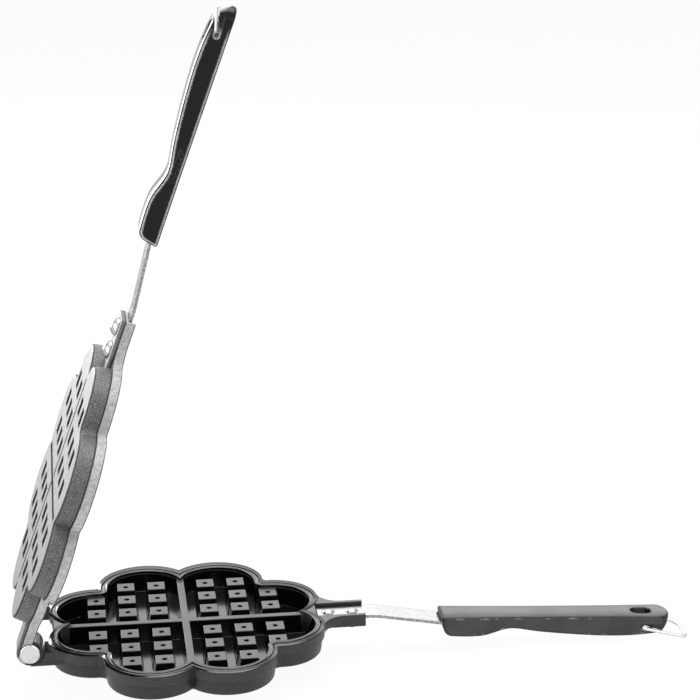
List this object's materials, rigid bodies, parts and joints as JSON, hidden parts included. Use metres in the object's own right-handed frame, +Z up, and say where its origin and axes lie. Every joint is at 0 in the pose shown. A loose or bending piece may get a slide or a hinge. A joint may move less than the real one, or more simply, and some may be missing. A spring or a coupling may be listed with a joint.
{
  "type": "stovetop waffle iron",
  "caption": "Hand-held cast waffle iron for the stove: two hinged clover-shaped plates with square studs, riveted steel strips, moulded grips and a wire hanging ring.",
  "frame": {"origin": "middle of the lower plate, on the plane of its outer face, which stands on the hob", "axes": "+X from the hinge to the handles, +Z up, +Y across along the hinge axis"},
  "size_m": [0.4369, 0.171, 0.4226],
  "materials": {
    "plate_coating": "glossy",
    "bright_steel": "polished",
    "grip_plastic": "glossy",
    "ring_wire": "polished"
  },
  "bodies": {
    "lower_half": {"lower_plate": "plate_coating", "lower_strip": "bright_steel", "lower_rivet_1": "bright_steel", "lower_rivet_2": "bright_steel", "lower_grip": "grip_plastic", "hinge_pin": "bright_steel"},
    "upper_half": {"upper_plate": "plate_coating", "upper_strip": "bright_steel", "upper_rivet_1": "bright_steel", "upper_rivet_2": "bright_steel", "upper_grip": "grip_plastic"},
    "hang_ring": {"hang_ring": "ring_wire"}
  },
  "joints": [
    {"name": "lid_hinge", "type": "hinge", "parent": "lower_half", "child": "upper_half", "pos_m": [-0.0988, 0, 0.0166], "axis": [0, -1, 0], "range_deg": [-70, 110]},
    {"name": "ring_swing", "type": "hinge", "parent": "lower_half", "child": "hang_ring", "pos_m": [0.2979, 0, -0.00443], "axis": [0, 1, 0], "range_deg": [-60, 100]}
  ]
}
